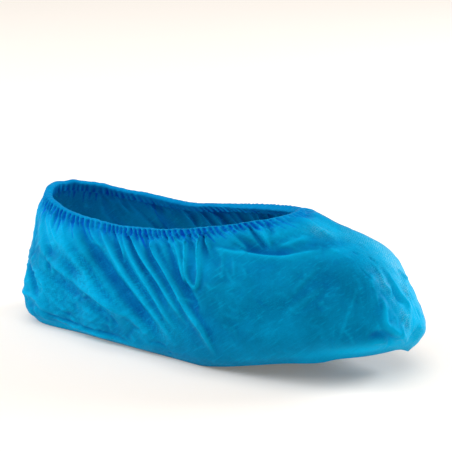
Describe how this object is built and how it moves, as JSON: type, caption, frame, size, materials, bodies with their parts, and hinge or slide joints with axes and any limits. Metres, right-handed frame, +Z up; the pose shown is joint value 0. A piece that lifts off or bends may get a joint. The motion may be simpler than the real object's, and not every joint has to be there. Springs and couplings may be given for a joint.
{
  "type": "disposable shoe cover",
  "caption": "Thin blue film overshoe in its worn form: hollow body, flat sole, raised toe, gathered elastic hem and slanting folds.",
  "frame": {"origin": "on the floor, under the centre of the bounding box", "axes": "-Y towards the toe, +Y towards the heel, -X towards the wearer's right, +Z up; the floor is at Z = 0"},
  "size_m": [0.1289, 0.3138, 0.1047],
  "materials": {
    "film": "semi-gloss embossed blue film",
    "hem_film": "semi-gloss blue film in close gathers",
    "elastic": "matt, pale"
  },
  "bodies": {
    "root": {"film_side": "film", "film_sole": "film", "gathered_hem": "hem_film", "elastic_band": "elastic"}
  },
  "joints": []
}
